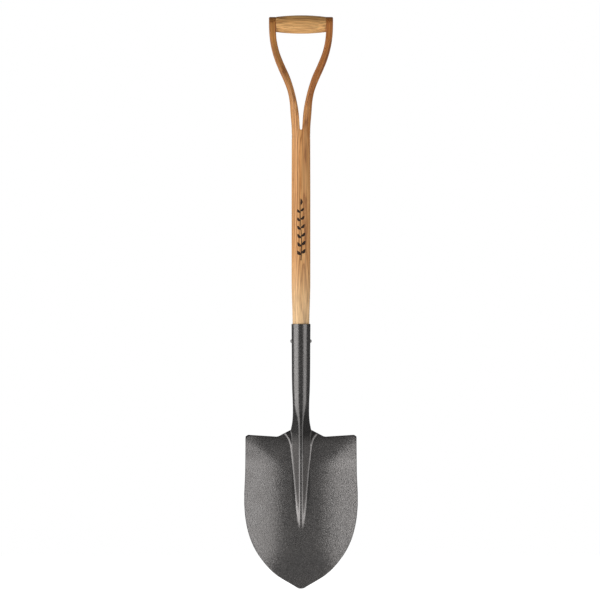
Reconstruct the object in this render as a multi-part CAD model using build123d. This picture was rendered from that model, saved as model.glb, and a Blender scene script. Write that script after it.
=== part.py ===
from build123d import *
import os
from math import atan2, cos, sin, sqrt, radians

# Garden spade: pressed steel head with a tapering socket, one-piece ash shaft split into two
# arms, and a turned grip riveted between them.  Millimetres.  +X is the holder's right, +Y the
# back of the spade, +Z up.  All pieces are drawn about the shaft's axis and then moved back by
# AXIS_Y, which puts the origin under the middle of the spade's bounding box, level with the tip.

# ---- overall ----
AXIS_Y = 10.0            # the shaft's axis behind the origin

# ---- sheet of the head ----
SHEET = 2.0              # steel thickness
BLADE_TOP_Z = 290.0      # shoulder height beside the neck
TREAD_RISE = 4.0         # how much higher the shoulders are at their outer ends
TREAD_DEPTH = 10.5       # the treads turn back by this much
TREAD_BEND = 4.0         # outer radius of that bend
BLADE_HALF_TOP = 106.8   # half width at the shoulders
BLADE_HALF_MAX = 108.5   # half width at the widest place
BLADE_MAX_Z = 155.0      # height of the widest place
TIP_R = 13.0             # rounding of the point
TIP_ANGLE = radians(30)  # slope of the cutting edges beside the point
SHEET_Y_TOP = 8.0        # front face of the sheet at the shoulders, behind the shaft's axis
LIFT_SLOPE = 0.10        # forward lean of the blade at the shoulders
LIFT_CURVE = 0.00018     # growth of that lean towards the tip, per millimetre
DISH_SLOPE = 0.33        # how steeply the blade's sides come forward
DISH_ROUND = 30.0        # width of the turn between the flat middle and the sides
DISH_FROM = 32.0         # half width of the flat middle
DISH_FROM_TOP = 80.0     # the same at the shoulders
DISH_FROM_TIP = 58.0     # the same at the point
DISH_RUN_IN = 65.0       # the dish reaches its full shape this far below the shoulders
DISH_RUN_OUT = 85.0      # and opens out again from this height down to the point

# ---- frog: the hollow ridge that runs from the socket down the middle of the blade ----
NOSE_Z = 116.0
NECK_Z = 342.0           # the socket's narrowest place, where the frog begins
RIB_TOP_Z = 357.0        # the narrow rib on the frog fades out here

# ---- socket ----
MOUTH_Z = 507.0
MOUTH_R = 18.25
NECK_R = 15.7
BORE_MOUTH_R = 16.2
BORE_NECK_R = 13.7
SEAM = 2.5               # open seam down the back of the socket

# ---- shaft ----
TENON_END_Z = 364.0
SHAFT_R = 18.0
TAPER_Z = 585.0          # the shaft is full size above this height
FORK_Z = 860.0           # the round shaft ends and the fork begins
CROTCH_Z = 880.0         # bottom of the split
SPLIT_HALF = 2.1         # half width of the split at its bottom
ARM_HALF_OUT = 61.6      # outer half width of the handle
ARM_HALF_IN = 48.0       # half length of the grip between the arms
ARM_HALF_DEPTH = 14.4    # half depth of an arm, front to back, at the grip

# ---- grip ----
GRIP_Z = 1082.4
GRIP_R_MID = 17.6
GRIP_R_END = 14.6

# ---- rivets ----
ROD_R = 3.0              # the long rivet through both arms and the grip
WASHER_R = 6.5
WASHER_T = 1.2
RECESS = 2.6             # depth of the seat that takes a washer and its rivet's head
FORK_ROD_R = 2.5
FORK_RIVET_Z = 867.0
FORK_WASHER_R = 5.5
SOCKET_ROD_R = 2.4
SOCKET_RIVET_Z = 474.0
SOCKET_HEAD_R = 3.4
SOCKET_HEAD_H = 2.4
SOCKET_HEAD_GAP = 0.03   # the head clears the socket's flare by this much


def smooth(t):
    """Rise from 0 to 1 with level ends."""
    t = min(1.0, max(0.0, t))
    return t * t * (3 - 2 * t)


def curve_at(points, z):
    """Value at z on a smooth curve through (z, value) points."""
    slopes = []
    for i in range(len(points)):
        z0, v0 = points[max(i - 1, 0)]
        z1, v1 = points[min(i + 1, len(points) - 1)]
        slopes.append((v1 - v0) / (z1 - z0))
    for (z0, v0), (z1, v1), s0, s1 in zip(points, points[1:], slopes, slopes[1:]):
        if z <= z1:
            gap = z1 - z0
            t = max(0.0, (z - z0) / gap)
            ease = smooth(t)
            return v0 + (v1 - v0) * ease + gap * t * (1 - t) * (s0 * (1 - t) - s1 * t)
    return points[-1][1]


# ---- the blade's dished sheet ----

def soft_corner(u, width):
    """0 for negative u, u for positive u, with a rounded turn of the given width between."""
    return (u + sqrt(u * u + width * width)) / 2


def sheet_y(x, z):
    """Front face of the plain sheet, before the frog is raised in it."""
    drop = BLADE_TOP_Z - z
    middle = SHEET_Y_TOP - LIFT_SLOPE * drop - LIFT_CURVE * drop * abs(drop)
    near_top = smooth(1 - drop / DISH_RUN_IN)
    near_tip = smooth(1 - z / DISH_RUN_OUT)
    turn = DISH_FROM + (DISH_FROM_TOP - DISH_FROM) * near_top + (DISH_FROM_TIP - DISH_FROM) * near_tip
    rise = soft_corner(abs(x) - turn, DISH_ROUND) - soft_corner(-turn, DISH_ROUND)
    return middle - DISH_SLOPE * rise


# heights and distances from the middle at which the sheet's faces are drawn, past the outline all round
SHEET_LEVELS = [-20 + 37.5 * i for i in range(10)]
SHEET_STATIONS = [-120 + 15 * i for i in range(17)]


def sheet_block(front_shift, back_y):
    """Solid whose front is the sheet's front moved back by front_shift, and whose rear is at back_y(x, z)."""
    wires = []
    for z in SHEET_LEVELS:
        front = [(x, sheet_y(x, z) + front_shift, z) for x in SHEET_STATIONS]
        back = [(x, back_y(x, z), z) for x in reversed(SHEET_STATIONS)]
        edges = [
            Edge.make_spline(front),
            Edge.make_line(front[-1], back[0]),
            Edge.make_spline(back),
            Edge.make_line(back[-1], front[0]),
        ]
        wires.append(Wire(edges))
    return Solid.make_loft(wires)


def tread_back(x, z):
    return sheet_y(x, z) + 7.5 + (TREAD_DEPTH - 7.5) * smooth((abs(x) - 20) / 30)


def far_back(x, z):
    return 70.0


def blade_outline():
    """Front view of the blade: ogive below, sloping shoulders above, and a short flare into the neck."""
    right_side = [
        (BLADE_HALF_TOP, BLADE_TOP_Z - 1),
        (BLADE_HALF_TOP + 0.3, 226),
        (BLADE_HALF_MAX, BLADE_MAX_Z),
        (105.2, 126),
        (94.2, 88),
        (76.3, 57),
        (48.4, 27),
        (24.0, 11.6),
        (TIP_R * sin(TIP_ANGLE), TIP_R * (1 - cos(TIP_ANGLE))),
    ]
    heading = (-cos(TIP_ANGLE), -sin(TIP_ANGLE))
    left_side = [(-x, z) for x, z in reversed(right_side)]
    shoulder_z = BLADE_TOP_Z + TREAD_RISE
    with BuildSketch() as sk:
        with BuildLine():
            Spline(right_side, tangents=[(0, -1), heading])
            ThreePointArc(right_side[-1], (0, 0), left_side[0])
            Spline(left_side, tangents=[(heading[0], -heading[1]), (0, 1)])
            l1 = Line(left_side[-1], (-BLADE_HALF_TOP, shoulder_z - 3.5))
            l2 = Line(l1 @ 1, (-BLADE_HALF_TOP + 4.5, shoulder_z - 0.2))
            l3 = Line(l2 @ 1, (-45, BLADE_TOP_Z))
            l4 = Line(l3 @ 1, (-19, 303.5))
            l5 = Line(l4 @ 1, (-12, 309.5))
            l6 = Line(l5 @ 1, (12, 309.5))
            l7 = Line(l6 @ 1, (19, 303.5))
            l8 = Line(l7 @ 1, (45, BLADE_TOP_Z))
            l9 = Line(l8 @ 1, (BLADE_HALF_TOP - 4.5, shoulder_z - 0.2))
            l10 = Line(l9 @ 1, (BLADE_HALF_TOP, shoulder_z - 3.5))
            Line(l10 @ 1, right_side[0])
        make_face()
    return sk.sketch


def hollow_outline():
    """What lies behind the sheet: everything under a line one sheet thickness below the top edge."""
    t = SHEET
    shoulder_z = BLADE_TOP_Z + TREAD_RISE
    points = [
        (0, -30),
        (130, -30),
        (130, shoulder_z - t + 1.5),
        (45, BLADE_TOP_Z - t),
        (18, 303.5 - t),
        (11.5, 309.5 - t),
        (0, 309.5 - t),
    ]
    points += [(-x, z) for x, z in reversed(points[1:-1])]
    with BuildSketch() as sk:
        with BuildLine():
            Polyline(points, close=True)
        make_face()
    return sk.sketch


def prism_y(sketch, reach=120):
    """Front-view sketch (x, z) run through the part from front to back."""
    return extrude(Plane.XZ * sketch, amount=reach, both=True)


# ---- frog, neck and socket ----

# (height, half width) up the frog, neck and socket
HALF_WIDTH = [
    (104, 4.8), (122, 7.4), (144, 9.2), (169, 10.2), (187, 11.3), (208, 13.2), (230, 15.3),
    (248, 17.0), (263, 18.6), (277, 20.2), (291, 21.2), (303, 19.6), (317, 17.0), (330, 15.9),
    (NECK_Z, NECK_R), (353, 15.9), (365, 16.3), (376, 16.8), (394, 17.3), (411, 17.6),
    (463, 17.9), (MOUTH_Z, MOUTH_R),
]
# (height, y) up the frog's crest; below NOSE_Z it is buried in the sheet
CREST_Y = [
    (104, -15.6), (NOSE_Z, -15.6), (150, -15.4), (208, -15.4), (291, -15.8), (NECK_Z, -NECK_R),
]
RIDGE_R = 6.0            # rounding of the frog's crest
FOOT_SPREAD = 1.4        # the frog's sides run this much wider below the shoulders, inside the sheet
FROG_FROM = 104
FROG_STEPS = 28
HOLLOW_FROM = 125
HOLLOW_TO = 360
HOLLOW_STEPS = 16
SIDE_BURIED = 3.2        # the frog's flanks run this far through the sheet
NECK_BACK = 6.0          # depth of the neck behind its flanks where it opens into the frog


def bore_radius(z):
    """Taper of the socket's bore and of the shaft's tenon."""
    return BORE_NECK_R + (BORE_MOUTH_R - BORE_NECK_R) * (z - NECK_Z) / (MOUTH_Z - NECK_Z)


def tube_share(z):
    """0 where the section is the frog's, 1 where it is the socket's circle."""
    return smooth((z - 300) / (RIB_TOP_Z - 300))


def ridge_angle(half, height):
    """Slope of the frog's sides that takes them from the rounded crest down by height at x = half."""
    angle = radians(45)
    for attempt in range(30):
        rise = height - RIDGE_R * (1 - cos(angle))
        angle = (angle + atan2(rise, half - RIDGE_R * sin(angle))) / 2
    return angle


def frog_half(z, inset):
    """Front of the section at height z, from its middle to its side, moved in by inset, and its slope there."""
    half = curve_at(HALF_WIDTH, z)
    crest = curve_at(CREST_Y, z)
    wide = half + FOOT_SPREAD * (1 - smooth((z - 265) / 25))
    side = sheet_y(0, min(z, 300)) + SIDE_BURIED
    angle = ridge_angle(wide, side - crest)
    formed = []
    for turn in (0, angle / 2, angle):
        radius = RIDGE_R - inset
        formed.append((radius * sin(turn), crest + RIDGE_R - radius * cos(turn)))
    start_x, start_y = formed[-1]
    run_x = wide - inset * sin(angle) - start_x
    run_y = side + inset * cos(angle) - start_y
    formed += [(start_x + run_x * t, start_y + run_y * t) for t in (0.25, 0.5, 0.75, 1)]
    ring = half - inset
    circle = [(ring * sin(radians(15 * i)), -ring * cos(radians(15 * i))) for i in range(7)]
    tube = tube_share(z)
    points = [
        ((1 - tube) * fx + tube * cx, (1 - tube) * fy + tube * cy)
        for (fx, fy), (cx, cy) in zip(formed, circle)
    ]
    return points, (1 - tube) * angle + tube * radians(90)


def frog_wire(z, inset):
    """Closed section of the frog, neck or socket at height z."""
    half, angle = frog_half(z, inset)
    wide, side = half[-1]
    tube = tube_share(z)
    rear = (1 - tube) * (NECK_BACK - inset) + tube * wide
    front = [(-x, y, z) for x, y in reversed(half[1:])] + [(x, y, z) for x, y in half]
    back = [
        (wide * cos(radians(30 * i)), side + rear * sin(radians(30 * i)), z)
        for i in range(7)
    ]
    backwards, forwards = Vector(0, 1, 0), Vector(0, -1, 0)
    rising, falling = Vector(cos(angle), -sin(angle), 0), Vector(cos(angle), sin(angle), 0)
    return Wire([
        Edge.make_spline([Vector(*p) for p in front], tangents=[rising, falling]),
        Edge.make_spline([Vector(*p) for p in back], tangents=[backwards, forwards]),
    ])


def frog_body(low, high, steps, inset):
    """Solid through evenly spaced sections."""
    return Solid.make_loft([frog_wire(low + (high - low) * i / steps, inset) for i in range(steps + 1)])


def seam_opening():
    """Open seam down the back of the socket, which widens into the hollow of the frog."""
    half = SEAM / 2
    right = [(half, MOUTH_Z + 10), (half, 354), (3.5, 340), (9, 322), (14.5, 307), (14.5, 290)]
    left = [(-x, z) for x, z in reversed(right)]
    outline = make_face(Polyline(right + left, close=True))
    return Pos(0, 8, 0) * extrude(Plane.XZ * outline, amount=-40)


def tread_edges(solid):
    """Front edges along the shoulders and the flare."""
    found = []
    for edge in solid.edges():
        middle = edge.position_at(0.5)
        on_front = abs(middle.Y - sheet_y(middle.X, middle.Z)) < 0.3
        if on_front and middle.Z > BLADE_TOP_Z and edge.length > 8:
            found.append(edge)
    return found


def cross_rod(radius, half_length, z):
    """Round bar along X through the shaft's axis at height z."""
    return Pos(0, 0, z) * Rot(0, 90, 0) * Cylinder(radius, 2 * half_length)


def turned(profile):
    """Solid of revolution about the shaft's axis from (radius, height) corners."""
    face = make_face(Polyline(profile, close=True))
    return revolve(Plane.XZ * face, axis=Axis.Z)


def make_head():
    plate = sheet_block(0, tread_back) & prism_y(blade_outline())
    plate = plate.fillet(TREAD_BEND, tread_edges(plate))
    hollow = sheet_block(SHEET, far_back) & prism_y(hollow_outline())
    outer = frog_body(FROG_FROM, MOUTH_Z, FROG_STEPS, 0)
    inner = frog_body(HOLLOW_FROM, HOLLOW_TO, HOLLOW_STEPS, SHEET)
    head = (plate - hollow) + (outer - hollow) - inner
    bore_from = HOLLOW_TO - 2
    bore = turned([
        (0, bore_from), (bore_radius(bore_from), bore_from),
        (bore_radius(MOUTH_Z + 5), MOUTH_Z + 5), (0, MOUTH_Z + 5),
    ])
    head = head - bore - seam_opening()
    return head - cross_rod(SOCKET_ROD_R, 30, SOCKET_RIVET_Z)


# ---- ash shaft with its two arms ----

# (height, half width, half depth, corner radius) of the fork's outside
FORK = [
    (FORK_Z, 17.75, 17.75, 17.4), (885, 18.0, 17.4, 16.8), (910, 20.0, 16.6, 15.4),
    (935, 22.0, 15.6, 13.6), (955, 26.0, 14.8, 11.5), (975, 33.6, 14.2, 9.0),
    (995, 42.6, 13.8, 7.0), (1015, 50.6, 13.7, 6.2), (1035, 56.4, 13.8, 5.2),
    (1055, 60.0, 14.1, 3.6), (1075, 61.4, ARM_HALF_DEPTH, 2.2), (1100, ARM_HALF_OUT, ARM_HALF_DEPTH, 2.2),
]
# (half width, height) up the inside of one arm, from the crotch to the grip
ARM_INSIDE = [
    (SPLIT_HALF, CROTCH_Z + 2), (4.6, 914), (8.6, 937), (14.3, 960), (22.0, 983),
    (32.4, 1006), (41.4, 1029), (46.3, 1050), (ARM_HALF_IN, 1068),
]


def make_shaft():
    tenon = turned([
        (0, TENON_END_Z), (bore_radius(TENON_END_Z), TENON_END_Z),
        (BORE_MOUTH_R, MOUTH_Z), (SHAFT_R, TAPER_Z), (SHAFT_R, 760), (17.75, FORK_Z), (0, FORK_Z),
    ])
    sections = [
        Pos(0, 0, z) * RectangleRounded(2 * wide, 2 * deep, corner).face()
        for z, wide, deep, corner in FORK
    ]
    fork = loft(sections)
    inside = Spline([(-x, z) for x, z in reversed(ARM_INSIDE)], tangents=[(0, -1), (0.06, -1)])
    outside = Spline(ARM_INSIDE, tangents=[(0.06, 1), (0, 1)])
    bottom = ThreePointArc(inside @ 1, (0, CROTCH_Z), outside @ 0)
    top_z = 1120
    right = Line(outside @ 1, (ARM_HALF_IN, top_z))
    top = Line(right @ 1, (-ARM_HALF_IN, top_z))
    left = Line(top @ 1, inside @ 0)
    split = prism_y(make_face([inside, bottom, outside, right, top, left]))
    fork = fork - split
    below = Pos(0, 0, (FORK_Z + GRIP_Z) / 2) * Box(200, 60, GRIP_Z - FORK_Z)
    rounded_tops = cross_rod(ARM_HALF_DEPTH, 80, GRIP_Z)
    fork = fork & (below + rounded_tops)
    return tenon + fork


# ---- grip and rivets ----

def make_grip():
    """Barrel-shaped crosspiece, turned about X."""
    with BuildSketch() as profile:
        with BuildLine():
            crown = ThreePointArc((-ARM_HALF_IN, GRIP_R_END), (0, GRIP_R_MID), (ARM_HALF_IN, GRIP_R_END))
            Polyline(crown @ 1, (ARM_HALF_IN, ROD_R), (-ARM_HALF_IN, ROD_R), crown @ 0)
        make_face()
    return Pos(0, 0, GRIP_Z) * revolve(profile.sketch, axis=Axis.X)


def on_both_sides(piece):
    return [piece, mirror(piece, about=Plane.YZ)]


def along_x(profile, z):
    """Solid of revolution about X from (x, radius) corners, moved up to height z."""
    face = make_face(Polyline(profile, close=True))
    return Pos(0, 0, z) * revolve(face, axis=Axis.X)


def rivet(rod, head_r, seat, end, z):
    """Rod with a low peened head at each end; the heads rise from seat to end."""
    profile = [
        (0, 0), (0, rod), (seat, rod), (seat, head_r), (seat + 0.5 * (end - seat), 0.85 * head_r),
        (end, 0.45 * head_r), (end, 0),
    ]
    half = along_x(profile, z)
    return half + mirror(half, about=Plane.YZ)


def washer(outer_r, rod, seat, z):
    return along_x([(seat - WASHER_T, rod), (seat - WASHER_T, outer_r), (seat, outer_r), (seat, rod)], z)


def washer_seat(radius, face_x, z):
    """Round seat cut into the outside of the wood down to face_x - RECESS."""
    floor_x = face_x - RECESS
    clear_x = face_x + 10
    return along_x([(floor_x, 0), (floor_x, radius), (clear_x, radius), (clear_x, 0)], z)


def main():
    shaft = make_shaft() - cross_rod(SOCKET_ROD_R, 30, SOCKET_RIVET_Z)
    shaft = shaft - cross_rod(ROD_R, 80, GRIP_Z) - cross_rod(FORK_ROD_R, 30, FORK_RIVET_Z)
    arm_face = curve_at([(z, wide) for z, wide, deep, corner in FORK], GRIP_Z)
    fork_face = curve_at([(z, wide) for z, wide, deep, corner in FORK], FORK_RIVET_Z)
    for piece in on_both_sides(washer_seat(WASHER_R, arm_face, GRIP_Z)):
        shaft = shaft - piece
    for piece in on_both_sides(washer_seat(FORK_WASHER_R, fork_face, FORK_RIVET_Z)):
        shaft = shaft - piece
    arm_seat = arm_face - RECESS + WASHER_T
    fork_seat = fork_face - RECESS + WASHER_T
    socket_seat = curve_at(HALF_WIDTH, SOCKET_RIVET_Z) + SOCKET_HEAD_GAP
    parts = {
        "head": make_head(),
        "shaft": shaft,
        "grip": make_grip(),
        "grip_rivet": rivet(ROD_R, 4.6, arm_seat, arm_face - 0.1, GRIP_Z),
        "grip_washers": Compound(on_both_sides(washer(WASHER_R, ROD_R, arm_seat, GRIP_Z))),
        "fork_rivet": rivet(FORK_ROD_R, 3.9, fork_seat, fork_face - 0.1, FORK_RIVET_Z),
        "fork_washers": Compound(on_both_sides(washer(FORK_WASHER_R, FORK_ROD_R, fork_seat, FORK_RIVET_Z))),
        "socket_rivet": rivet(
            SOCKET_ROD_R, SOCKET_HEAD_R, socket_seat, socket_seat + SOCKET_HEAD_H, SOCKET_RIVET_Z
        ),
    }
    os.makedirs("parts", exist_ok=True)
    for name, shape in parts.items():
        export_step(Pos(0, AXIS_Y, 0) * shape, f"parts/{name}.step")
        print(name, shape.is_valid, round(shape.volume), len(shape.solids()))


if __name__ == "__main__":
    main()
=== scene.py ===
import math

import bmesh
import bpy
import numpy as np
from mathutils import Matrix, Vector


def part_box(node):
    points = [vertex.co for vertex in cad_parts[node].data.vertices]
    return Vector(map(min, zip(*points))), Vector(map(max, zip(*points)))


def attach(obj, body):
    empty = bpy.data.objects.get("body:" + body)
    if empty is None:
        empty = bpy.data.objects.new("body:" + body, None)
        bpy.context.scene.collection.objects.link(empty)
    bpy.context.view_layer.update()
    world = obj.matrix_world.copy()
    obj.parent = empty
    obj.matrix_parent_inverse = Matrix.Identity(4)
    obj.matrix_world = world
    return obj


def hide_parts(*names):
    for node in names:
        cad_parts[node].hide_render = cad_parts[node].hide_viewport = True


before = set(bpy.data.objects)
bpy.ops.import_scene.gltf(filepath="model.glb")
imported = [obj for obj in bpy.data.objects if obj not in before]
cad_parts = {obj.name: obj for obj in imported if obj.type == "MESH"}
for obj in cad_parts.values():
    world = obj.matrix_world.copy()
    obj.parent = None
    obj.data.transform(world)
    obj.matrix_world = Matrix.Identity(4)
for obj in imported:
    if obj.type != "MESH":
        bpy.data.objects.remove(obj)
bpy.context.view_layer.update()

# Lengths in this script are millimetres about the shaft's axis: +X the holder's right, +Y the back,
# +Z up from the blade's point. place() turns them into the frame's metres.


def node_box(name):
    """Lowest and highest corner of a CAD node, in millimetres."""
    low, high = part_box(name)
    return [1000 * v for v in low], [1000 * v for v in high]


SHAFT_LOW, SHAFT_HIGH = node_box("shaft")
HEAD_LOW, HEAD_HIGH = node_box("head")
GRIP_LOW, GRIP_HIGH = node_box("grip")
AXIS_Y = (SHAFT_LOW[1] + SHAFT_HIGH[1]) / 2
MOUTH_Z = HEAD_HIGH[2]
GRIP_Z = (GRIP_LOW[2] + GRIP_HIGH[2]) / 2
GRIP_HALF = GRIP_HIGH[0]
GRIP_R = (GRIP_HIGH[2] - GRIP_LOW[2]) / 2


# ---- shared shape functions

def smooth(t):
    """Rise from 0 to 1 with level ends."""
    t = np.clip(t, 0.0, 1.0)
    return t * t * (3 - 2 * t)


def rise(value, start, end):
    """0 below start, 1 above end, and a smooth rise between them."""
    return smooth((value - start) / (end - start))


def curve_at(points, z):
    """Value at z on a smooth curve through (z, value) points."""
    zs, vs = np.array(points, float).T
    slopes = np.empty(len(zs))
    slopes[1:-1] = (vs[2:] - vs[:-2]) / (zs[2:] - zs[:-2])
    slopes[0] = (vs[1] - vs[0]) / (zs[1] - zs[0])
    slopes[-1] = (vs[-1] - vs[-2]) / (zs[-1] - zs[-2])
    i = np.clip(np.searchsorted(zs, z, side="right") - 1, 0, len(zs) - 2)
    gap = zs[i + 1] - zs[i]
    t = np.clip((z - zs[i]) / gap, 0, 1)
    sway = gap * t * (1 - t) * (slopes[i] * (1 - t) - slopes[i + 1] * t)
    return vs[i] + (vs[i + 1] - vs[i]) * smooth(t) + sway


def soft_corner(u, width):
    """0 for negative u, u for positive u, with a rounded turn of the given width between."""
    return (u + np.sqrt(u * u + width * width)) / 2


def soft_min(a, b, k):
    """Lower of a and b, with the corner between them rounded over k."""
    h = np.clip(0.5 + 0.5 * (b - a) / k, 0, 1)
    return b * (1 - h) + a * h - k * h * (1 - h)


# ---- the head's shape

SHEET = 2.0              # steel thickness
SHOULDER_Z = 290.0       # height of the shoulders where the flare ends
TREAD_RISE = 4.0         # how much higher the shoulders are at their outer ends
TREAD_DEPTH = 10.5       # the treads turn back by this much
TREAD_DEPTH_NECK = 7.5   # the same beside the neck
TREAD_BEND = 4.0         # outer radius of that bend
BEND_RUN = 13.0          # the bend grows to its full radius over this width beside the neck
BLADE_HALF_TOP = 106.8   # half width at the shoulders
CORNER_CUT = 4.5         # width and height of the cut corner at a shoulder's outer end
CORNER_DROP = 3.3
TIP_R = 13.0             # rounding of the point
FLARE_TOP_Z = 303.5      # top of the flare beside the neck
FLARE_IN = 19.6          # half widths where the flare starts and ends
FLARE_OUT = 45.0
SHEET_Y_TOP = 8.0        # front face of the sheet at the shoulders, behind the shaft's axis
LIFT_SLOPE = 0.10        # forward lean of the blade at the shoulders
LIFT_CURVE = 0.00018     # growth of that lean towards the tip, per millimetre
DISH_SLOPE = 0.33        # how steeply the blade's sides come forward
DISH_ROUND = 30          # width of the turn between the flat middle and the sides
DISH_FROM = 32           # half width of the flat middle
DISH_FROM_TOP = 80       # the same at the shoulders
DISH_FROM_TIP = 58       # the same at the point
DISH_RUN_IN = 65         # the dish reaches its full shape this far below the shoulders
DISH_RUN_OUT = 85        # and opens out again from this height down to the point

# (height, half width) up the frog, neck and socket
HALF_WIDTH = [
    (104, 4.8), (122, 7.4), (144, 9.2), (169, 10.2), (187, 11.3), (208, 13.2), (230, 15.3),
    (248, 17.0), (263, 18.6), (277, 20.2), (291, 21.2), (303, 19.6), (317, 17.0), (330, 15.9),
    (342, 15.7), (353, 15.9), (365, 16.3), (376, 16.8), (394, 17.3), (411, 17.6), (463, 17.9),
    (MOUTH_Z, 18.25),
]
# (height, y) up the frog's crest
CREST_Y = [(104, -15.6), (116, -15.6), (150, -15.4), (208, -15.4), (291, -15.8), (342, -15.7)]
RIDGE_R = 6.0            # rounding of the frog's crest
FOOT_SPREAD = 1.4        # the frog's sides run this much wider below the shoulders, inside the sheet
SIDE_BURIED = 3.2        # and this far through it
LEAST_FLANK = math.radians(28)   # the frog's sides are never flatter than this
NOSE_SINK = 9            # below its nose the frog sinks this far behind the sheet
FOOT_FILLET = 4.2        # fillet between the frog's foot and the sheet
LEAST_FILLET = 0.1       # what is left of it above the step
STEP_FROM_Z = 266        # here the fillet gives way to a low step
STEP_HEIGHT = 2.1
STEP_HALF_RUN = 1.6      # half the width over which the step comes down
# (height, distance from the middle) along that step, which turns outwards under the shoulders
STEP_X = [
    (262, 18.8), (270, 19.6), (276, 20.4), (280, 21.4), (284, 22.8), (288, 25.0), (292, 27.8),
    (296, 30.8), (300, 34.0),
]
NECK_DEPTH = 6.0         # depth of the neck behind its flanks where it opens into the frog
OPENING_HALF = 14.5      # half width of the opening in its back
TUBE_FROM_Z = 300        # between these heights the frog's section becomes the socket's circle
TUBE_END_Z = 357
# (height, half width) of the opening down the back of the socket and the neck
SEAM_EDGE = [
    (290, OPENING_HALF), (307, OPENING_HALF), (322, 9.0), (340, 3.5), (354, 1.35), (MOUTH_Z, 1.25),
]
# (half width, height) up the blade's edge, above the point's arc
BLADE_SIDE = [
    (6.5, 1.742), (24.0, 11.6), (48.4, 27.0), (76.3, 57.0), (94.2, 88.0), (105.2, 126.0),
    (108.5, 155.0), (107.1, 226.0), (BLADE_HALF_TOP, 289.0), (BLADE_HALF_TOP, 300.0),
]


def sheet_y(x, z):
    """Front face of the plain sheet, before the frog is raised in it."""
    drop = SHOULDER_Z - z
    middle = SHEET_Y_TOP - LIFT_SLOPE * drop - LIFT_CURVE * drop * np.abs(drop)
    near_top = smooth(1 - drop / DISH_RUN_IN)
    near_tip = smooth(1 - z / DISH_RUN_OUT)
    turn = DISH_FROM + (DISH_FROM_TOP - DISH_FROM) * near_top + (DISH_FROM_TIP - DISH_FROM) * near_tip
    past = soft_corner(np.abs(x) - turn, DISH_ROUND) - soft_corner(-turn, DISH_ROUND)
    return middle - DISH_SLOPE * past


def spline(points, per_gap):
    """Smooth curve through plane points, with slopes weighted by the distances between them."""
    p = np.array(points, float)
    chord = np.sqrt(((p[1:] - p[:-1]) ** 2).sum(1))
    slope = np.empty_like(p)
    before = (p[1:-1] - p[:-2]) / chord[:-1, None]
    after = (p[2:] - p[1:-1]) / chord[1:, None]
    share = (chord[:-1] / (chord[:-1] + chord[1:]))[:, None]
    slope[1:-1] = before * (1 - share) + after * share
    slope[0] = 1.5 * (p[1] - p[0]) / chord[0] - 0.5 * slope[1]
    slope[-1] = (p[-1] - p[-2]) / chord[-1]
    out = []
    for i in range(len(p) - 1):
        t = np.linspace(0, 1, per_gap, endpoint=False)[:, None]
        h = chord[i]
        out.append(
            p[i] * (2 * t**3 - 3 * t**2 + 1) + p[i + 1] * (3 * t**2 - 2 * t**3)
            + slope[i] * h * (t**3 - 2 * t**2 + t) + slope[i + 1] * h * (t**3 - t**2)
        )
    out.append(p[-1:])
    return np.concatenate(out)


SIDE_CURVE = spline(BLADE_SIDE, 24)


def blade_edge(z):
    """Half width of the blade at height z."""
    tip = np.sqrt(np.maximum(TIP_R**2 - (TIP_R - np.minimum(z, TIP_R)) ** 2, 0))
    side = np.interp(z, SIDE_CURVE[:, 1], SIDE_CURVE[:, 0])
    return np.where(z < BLADE_SIDE[0][1], tip, side)


def top_z(x):
    """Height of the top edge: flare beside the neck, rising shoulder, cut corner."""
    shoulder = SHOULDER_Z + TREAD_RISE - 0.2   # at the inner end of the cut corner
    xs = [0, FLARE_IN, FLARE_OUT, BLADE_HALF_TOP - CORNER_CUT, BLADE_HALF_TOP, 120]
    zs = [FLARE_TOP_Z, FLARE_TOP_Z, SHOULDER_Z, shoulder, shoulder - CORNER_DROP, shoulder - 12]
    inner = np.maximum(x, FLARE_IN)
    parts = [np.interp(np.maximum(inner + d, FLARE_IN), xs, zs) for d in (-2.4, -1.2, 0, 1.2, 2.4)]
    rounded = sum(parts) / len(parts)
    near_corner = rise(x, 96, 100)
    near_neck = 1 - rise(x, FLARE_IN, FLARE_IN + 3)
    sharp = np.interp(inner, xs, zs)
    return rounded + (sharp - rounded) * np.maximum(near_corner, near_neck)


def ridge_shape(z):
    """Depth of the frog's crest and slope of its sides at heights z."""
    half = curve_at(HALF_WIDTH, z)
    crest = curve_at(CREST_Y, z)
    wide = half + FOOT_SPREAD * (1 - rise(z, 265, 290))
    side = sheet_y(half, np.minimum(z, FLARE_TOP_Z)) + SIDE_BURIED * (1 - rise(z, 286, 303))
    angle = np.full(z.shape, math.radians(45))
    for _ in range(40):
        height = side - crest - RIDGE_R * (1 - np.cos(angle))
        angle = (angle + np.arctan2(height, wide - RIDGE_R * np.sin(angle))) / 2
    return crest, np.maximum(angle, LEAST_FLANK)


RIDGE_LEVELS = np.linspace(0, 520, 1600)
RIDGE_CREST, RIDGE_ANGLE = ridge_shape(RIDGE_LEVELS)


def ridge_y(x, z):
    """The frog's own front face: a rounded crest and straight sides."""
    crest = np.interp(z, RIDGE_LEVELS, RIDGE_CREST)
    angle = np.interp(z, RIDGE_LEVELS, RIDGE_ANGLE)
    top = np.minimum(x, RIDGE_R * np.sin(angle))
    sunk = NOSE_SINK * (1 - rise(z, 84, 110))
    return crest + sunk + RIDGE_R - np.sqrt(RIDGE_R**2 - top * top) + (x - top) * np.tan(angle)


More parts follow.
